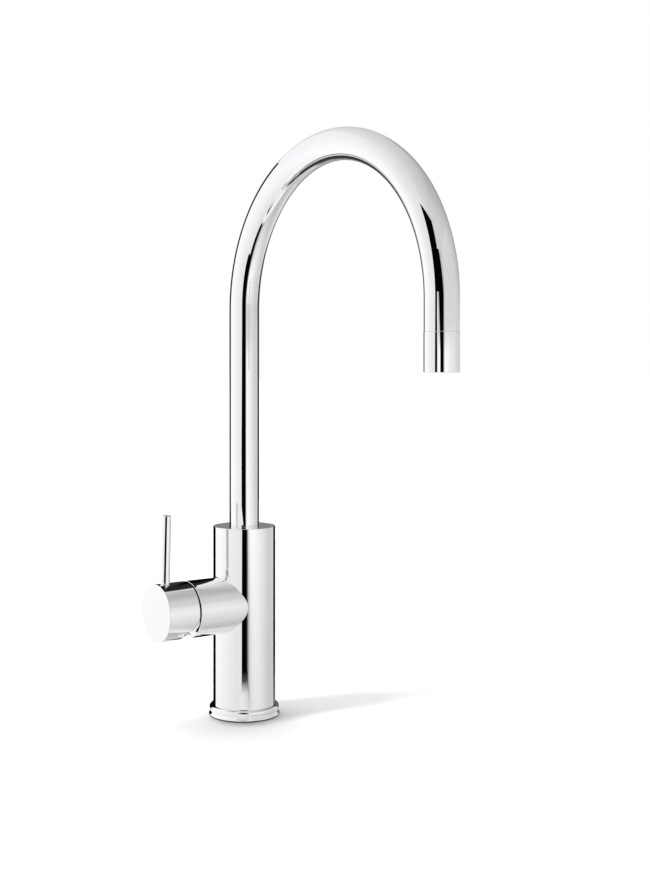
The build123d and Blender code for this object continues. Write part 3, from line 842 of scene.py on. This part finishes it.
def make_collar():
    """The collar at the outlet, with a neck that goes up into the tube."""
    shell = Shell(Matrix.Translation((0, -REACH, 0)))
    corners = [
        (COLLAR_NECK_BORE, COLLAR_NECK_TOP, 0.1), (COLLAR_NECK_BORE, WASHER_TOP, 0),
        (COLLAR_BORE, WASHER_TOP, 0), (COLLAR_BORE, COLLAR_LOW, 0.15),
        (COLLAR_RADIUS, COLLAR_LOW, COLLAR_EDGE), (COLLAR_RADIUS, TUBE_END, COLLAR_EDGE),
        (COLLAR_NECK_RADIUS, TUBE_END, 0), (COLLAR_NECK_RADIUS, COLLAR_NECK_TOP, 0.2),
    ]
    lathe(shell, rounded(corners, closed=True), closed=True)
    return shell


make_spout_tube().build("tube", chrome, "spout", ["spout_tube"])
make_collar().build("collar", chrome, "spout", ["outlet_collar"])


# Camera

VIEW_ANGLE = math.radians(54.149)
CAMERA_PLACE = (39.362, 1053.10, 281.06)
RIGHT = Vector((math.sin(VIEW_ANGLE), -math.cos(VIEW_ANGLE), 0))
AWAY = Vector((math.cos(VIEW_ANGLE), math.sin(VIEW_ANGLE), 0))
UP = Vector((0, 0, 1))


def studio_point(right, near, height):
    """A place in the studio: to the image's right, towards the camera and up, from the tap's foot."""
    return RIGHT * right - AWAY * near + UP * height


camera_data = bpy.data.cameras.new("camera")
camera_data.sensor_fit = "VERTICAL"
camera_data.sensor_height = 36.0
camera_data.lens = 53.77
camera_data.shift_x = 0.0365
camera_data.shift_y = -0.0826
camera_data.clip_start = 0.01
camera_data.clip_end = 50
camera = bpy.data.objects.new("camera", camera_data)
bpy.context.scene.collection.objects.link(camera)
basis = Matrix((RIGHT, UP, -AWAY)).transposed().to_4x4()
camera.matrix_world = Matrix.Translation(studio_point(*CAMERA_PLACE) * MM) @ basis
bpy.context.scene.camera = camera


# Studio

# Brightness that the chrome gives back of what it mirrors
CHROME_SHINE = 0.875

# Ends of the tall cards, far below the floor and at the ceiling
DEEP = -1200
ROOM_TOP = 1080

# Distances of upright cards from the column's axis, and near of the flat ones
STRIP_DISTANCE = 50
LIP_DISTANCE = 840
ROOM_DISTANCE = 970
FOOT_DISTANCE = 31
LEVER_DISTANCE = 7
SHEET_NEAR = -265
GREY_NEAR = -264
ARCH_NEAR = 260
FLOOR_GAP = 0.1

FLOOR_SIZE = 40.0
FLOOR_GLOW = 0.075
WORLD_SEEN = 1.0
WORLD_LIGHT = 0.16


def srgb(value):
    """Linear light of a display value from 0 to 255."""
    v = value / 255
    return v / 12.92 if v <= 0.04045 else ((v + 0.055) / 1.055) ** 2.4


def glow_material(name):
    """Light of a card, read from the brightness stored on its mesh.

    The floor doesn't catch it by way of the metal, so the tap's shadow stays clean.
    """
    nodes = Nodes(bpy.data.materials.new(name))
    shade = nodes.add("ShaderNodeAttribute", attribute_name="glow")
    path = nodes.add("ShaderNodeLightPath")
    direct = nodes.add("ShaderNodeMath", operation="LESS_THAN")
    direct.inputs[1].default_value = 0.5
    nodes.link(path.outputs["Diffuse Depth"], direct.inputs[0])
    light = nodes.add("ShaderNodeEmission")
    nodes.link(shade.outputs["Color"], light.inputs["Color"])
    nodes.link(direct.outputs[0], light.inputs["Strength"])
    return nodes.finish(light.outputs["Emission"])


card_light = glow_material("card_light")


def card(name, columns):
    """A studio card of columns, each a list of (right, near, height, brightness) from low to high.

    It shows in polished metal only, so it neither lights nor shades the tap or the floor. The
    brightness is the display value that chrome shows of it.
    """
    rows = len(columns[0])
    corners = [corner for column in columns for corner in column]
    points = [studio_point(right, near, height) * MM for right, near, height, _ in corners]
    levels = [srgb(brightness) / CHROME_SHINE for *_, brightness in corners]
    faces = []
    for i in range(len(columns) - 1):
        for a in range(i * rows, (i + 1) * rows - 1):
            faces.append((a, a + rows, a + rows + 1, a + 1))
    mesh = bpy.data.meshes.new(name)
    mesh.from_pydata(points, [], faces)
    glow = mesh.color_attributes.new("glow", "FLOAT_COLOR", "POINT")
    glow.data.foreach_set("color", [v for level in levels for v in (level, level, level, 1.0)])
    mesh.materials.append(card_light)
    piece = bpy.data.objects.new(name, mesh)
    bpy.context.scene.collection.objects.link(piece)
    piece.visible_camera = False
    piece.visible_diffuse = False
    piece.visible_shadow = False
    piece.visible_transmission = False


def polar(angle, distance):
    """Right and near of a place round the column. Angles grow from the camera to the image's right."""
    a = math.radians(angle)
    return distance * math.sin(a), distance * math.cos(a)


def wall(plan, levels):
    """Columns of an upright card: plan of (angle, distance, brightness), levels of (height, share)."""
    return [[(*polar(a, r), z, b * share) for z, share in levels] for a, r, b in plan]


def flat(rights, near, levels):
    """Columns of a flat card that faces the camera: levels of (height, brightness)."""
    return [[(right, near, z, b) for z, b in levels] for right in rights]


def leaning(distance, levels):
    """Columns of a card whose ends lean: levels of (height, first angle, last angle, brightness)."""
    return [
        [(*polar(first + (last - first) * share, distance), z, b) for z, first, last, b in levels]
        for share in (0, 0.5, 1)
    ]


def table(plan, rows):
    """Columns of an upright card: plan of (angle, distance), rows of (height, [brightness, ...])."""
    return [[(*polar(a, r), z, row[i]) for z, row in rows] for i, (a, r) in enumerate(plan)]


# White panel on the left. Its edge towards the camera leans: corners of (right, near, height,
# brightness), each with the share of its full brightness that the rest of the panel has there.
LEFT_EDGE = [
    (-56, 424, DEEP, 226, 0.96), (-55, 424, -100, 228, 0.975), (-45, 424, 104, 230, 1),
    (-138, 415, 122, 232, 1), (-145, 415, 185, 232, 1), (-131, 415, 240, 232, 1), (-112, 415, 345, 232, 1),
    (-150, 415, 960, 222, 0.94), (-150, 415, ROOM_TOP, 222, 0.94),
]
LEFT_PLAN = [
    (-27, 430, 232), (-50, 435, 238), (-70, 445, 244), (-90, 470, 250), (-110, 500, 252), (-138, 520, 254),
    (-152, 520, 250),
]
card("left_panel", [[corner[:4] for corner in LEFT_EDGE]] + wall(
    LEFT_PLAN, [(z, share) for _, _, z, _, share in LEFT_EDGE]
))

# Dark strips close to the tap, which draw the outlines of column and tube. They narrow round the
# column's top.
card("left_strip", leaning(STRIP_DISTANCE, [
    (-2, -103, -180, 8), (148, -103.5, -180, 5), (150, -110, -147, 5), (167, -112, -147, 20),
    (169, -112.5, -180, 35), (480, -112.5, -180, 35),
]))
card("right_strip", leaning(STRIP_DISTANCE, [
    (-2, 110, 180, 120), (40, 110, 180, 45), (148, 110, 180, 45), (150, 113, 147, 60), (167, 113, 147, 60),
    (169, 113, 180, 60), (400, 113, 180, 60),
]))

# White panel on the right, brightest near the camera, and its upper part up to the ceiling. In front
# of its dark edge a lip leans towards the camera higher up.
RIGHT_PLAN = [
    (9, 860), (12, 850), (14.8, 835), (17, 820), (21, 800), (30, 700), (45, 620), (60, 570), (75, 540),
    (90, 520), (108, 500), (122, 500), (136, 500), (152, 500),
]
card("right_panel", table(RIGHT_PLAN, [
    (DEEP, [20, 40, 100, 140, 180, 200, 204, 202, 196, 186, 180, 180, 180, 180]),
    (-600, [20, 40, 110, 150, 190, 210, 214, 210, 204, 194, 186, 186, 186, 186]),
    (-150, [20, 40, 120, 160, 206, 226, 230, 226, 216, 204, 194, 196, 200, 200]),
    (-78, [20, 45, 130, 170, 213, 232, 235, 228, 218, 206, 197, 200, 204, 204]),
    (0, [20, 45, 150, 200, 232, 246, 242, 233, 223, 210, 201, 204, 210, 210]),
    (60, [20, 50, 180, 216, 246, 252, 245, 237, 226, 212, 203, 208, 216, 216]),
    (290, [5, 15, 190, 225, 250, 248, 234, 226, 214, 206, 204, 216, 226, 226]),
    (320, [5, 15, 170, 200, 218, 218, 214, 216, 210, 205, 204, 214, 224, 224]),
    (400, [5, 15, 170, 200, 214, 212, 210, 210, 204, 196, 180, 160, 140, 130]),
    (640, [5, 15, 170, 200, 210, 212, 214, 208, 198, 186, 172, 155, 145, 140]),
]))
card("right_top", table(RIGHT_PLAN, [
    (640, [5, 15, 170, 200, 207, 209, 207, 202, 194, 182, 170, 160, 150, 145]),
    (760, [5, 15, 170, 200, 206, 208, 205, 196, 188, 180, 174, 168, 162, 160]),
    (960, [5, 15, 170, 200, 203, 205, 200, 188, 182, 180, 180, 180, 180, 184]),
    (ROOM_TOP, [5, 15, 170, 200, 203, 205, 200, 188, 182, 180, 182, 184, 186, 190]),
]))
LIP_EDGE = [(385, 13), (520, 10), (700, 7), (ROOM_TOP, 6)]
LIP_END = 16
card("right_lip", [
    [(*polar(first + (LIP_END - first) * share, LIP_DISTANCE), z, b) for z, first in LIP_EDGE]
    for share, b in ((0, 60), (0.1, 195), (1, 205))
])

# A grey card between the camera and the arch, which lightens part of the arch's face
card("arch_card", [
    [(right, ARCH_NEAR, 388, b), (right, ARCH_NEAR, 560, b)] for right, b in ((121.5, 205), (150, 208))
])

# Behind the tap: a pale wall far back, and before it flat sheets that are dark high up
card("back", wall(
    [(-152, 540, 236), (-166, 560, 225), (-180, 570, 215), (-194, 560, 205), (-208, 540, 200)],
    [(DEEP, 0.93), (330, 1), (960, 0.96), (ROOM_TOP, 0.96)],
))
card("back_dark", flat((-190, -48), SHEET_NEAR, [(60, 60), (165, 60), (255, 48), (480, 48)]))
card("back_left", flat((-48, 25), SHEET_NEAR, [(255, 48), (490, 48)]))
card("back_right", flat((25, 200), SHEET_NEAR, [(255, 175), (380, 150), (440, 105), (490, 50)]))
card("back_grey", flat((-48, 60), GREY_NEAR, [(165, 128), (255, 128)]))

# The dark room round the camera, and the ceiling, which dims to the right
card("camera_room", wall(
    [(angle, ROOM_DISTANCE, 3) for angle in (-75, -40, 0, 40, 75)], [(DEEP, 1), (ROOM_TOP, 1)]
))
card("ceiling", [
    [(right, -900, ROOM_TOP, back), (right, 1200, ROOM_TOP, front)]
    for right, back, front in ((-700, 242, 235), (0, 212, 208), (500, 192, 190), (1500, 175, 175))
])

# A pale strip on the floor in front of the foot, which hides the dark room, and a small pale card
# before the lip of the trim ring
card("near_floor", [
    [(right, near, FLOOR_GAP, b) for right, near, b in side]
    for side in (
        [(-5, 20, 236), (-12, 110, 234), (-14, 130, 190), (-16, 155, 80), (-20, 190, 8)],
        [(16, 20, 205), (30, 110, 205), (33, 130, 160), (37, 155, 70), (46, 190, 8)],
    )
])
card("foot_card", wall([(-12, FOOT_DISTANCE, 215), (12, FOOT_DISTANCE, 208)], [(3.4, 1), (6.5, 1)]))

# A slim white card by the outlet
card("outlet_card", [
    [(91, 260, 180, 245), (93.5, 260, 290, 248), (91, 260, 318, 255), (92, 260, 335, 255)],
    [(119, 260, 180, 252), (119, 260, 290, 250), (112, 260, 318, 160), (107, 260, 335, 120)],
])

# A thin black card next to the lever, which only the lever itself shows well
foot, tip = (ROD_PLACE @ Vector((0, 0, rise)) for rise in (ROD_SEAT, ROD_SEAT + ROD_RISE))
card("lever_strip", [
    [(p.dot(RIGHT) + x, -p.dot(AWAY) + y, p.z, 3) for p in (foot, tip)]
    for x, y in (polar(angle, LEVER_DISTANCE) for angle in (-22, -4, 13))
])

# The floor glows a little where it is seen, up to plain white. In the metal it gives way to the cards,
# which reach below it.
floor_nodes = Nodes(bpy.data.materials.new("floor"))
floor_place = floor_nodes.add("ShaderNodeTexCoord").outputs["Object"]
floor_shade = floor_nodes.ramp(floor_nodes.noise(floor_place, 60.0), [(0.3, 0.895), (0.7, 0.905)])
floor_surface = floor_nodes.add("ShaderNodeBsdfPrincipled", Roughness=0.9)
floor_nodes.link(floor_shade, floor_surface.inputs["Base Color"])
floor_light = floor_nodes.add("ShaderNodeEmission", Strength=FLOOR_GLOW)
floor_both = floor_nodes.add("ShaderNodeAddShader")
floor_nodes.link(floor_surface.outputs["BSDF"], floor_both.inputs[0])
floor_nodes.link(floor_light.outputs["Emission"], floor_both.inputs[1])
floor_shader = floor_nodes.where_seen(floor_surface.outputs["BSDF"], floor_both.outputs[0])

floor_mesh = bpy.data.meshes.new("floor")
half = FLOOR_SIZE / 2
floor_corners = [(-half, -half, 0), (half, -half, 0), (half, half, 0), (-half, half, 0)]
floor_mesh.from_pydata(floor_corners, [], [(0, 1, 2, 3)])
floor_mesh.materials.append(floor_nodes.finish(floor_shader))
floor = bpy.data.objects.new("floor", floor_mesh)
bpy.context.scene.collection.objects.link(floor)
floor.visible_glossy = False

# Plain daylight: white where it is seen, and dim where it lights
world_nodes = Nodes(bpy.data.worlds.new("world"), "ShaderNodeOutputWorld")
seen = world_nodes.add("ShaderNodeBackground", Color=(1, 1, 1, 1), Strength=WORLD_SEEN)
lit = world_nodes.add("ShaderNodeBackground", Color=(1, 1, 1, 1), Strength=WORLD_LIGHT)
daylight = world_nodes.where_seen(lit.outputs[0], seen.outputs[0])
bpy.context.scene.world = world_nodes.finish(daylight)


def lamp(name, right, near, elevation, spread, power):
    """A soft distant lamp that shines from a direction in the studio. Angles are in degrees."""
    data = bpy.data.lights.new(name, "SUN")
    data.angle = math.radians(spread)
    data.energy = power
    lamp_object = bpy.data.objects.new(name, data)
    level = studio_point(right, near, 0).normalized() * math.cos(math.radians(elevation))
    direction = level + UP * math.sin(math.radians(elevation))
    lamp_object.location = direction * 2
    lamp_object.rotation_euler = (-direction).to_track_quat("-Z", "Y").to_euler()
    lamp_object.visible_glossy = False
    bpy.context.scene.collection.objects.link(lamp_object)


lamp("side_lamp", right=-0.91, near=0.42, elevation=52.0, spread=9.0, power=1.55)
lamp("back_lamp", right=-0.42, near=-0.91, elevation=68.0, spread=75.0, power=2.4)

bpy.context.scene.view_settings.view_transform = "Standard"
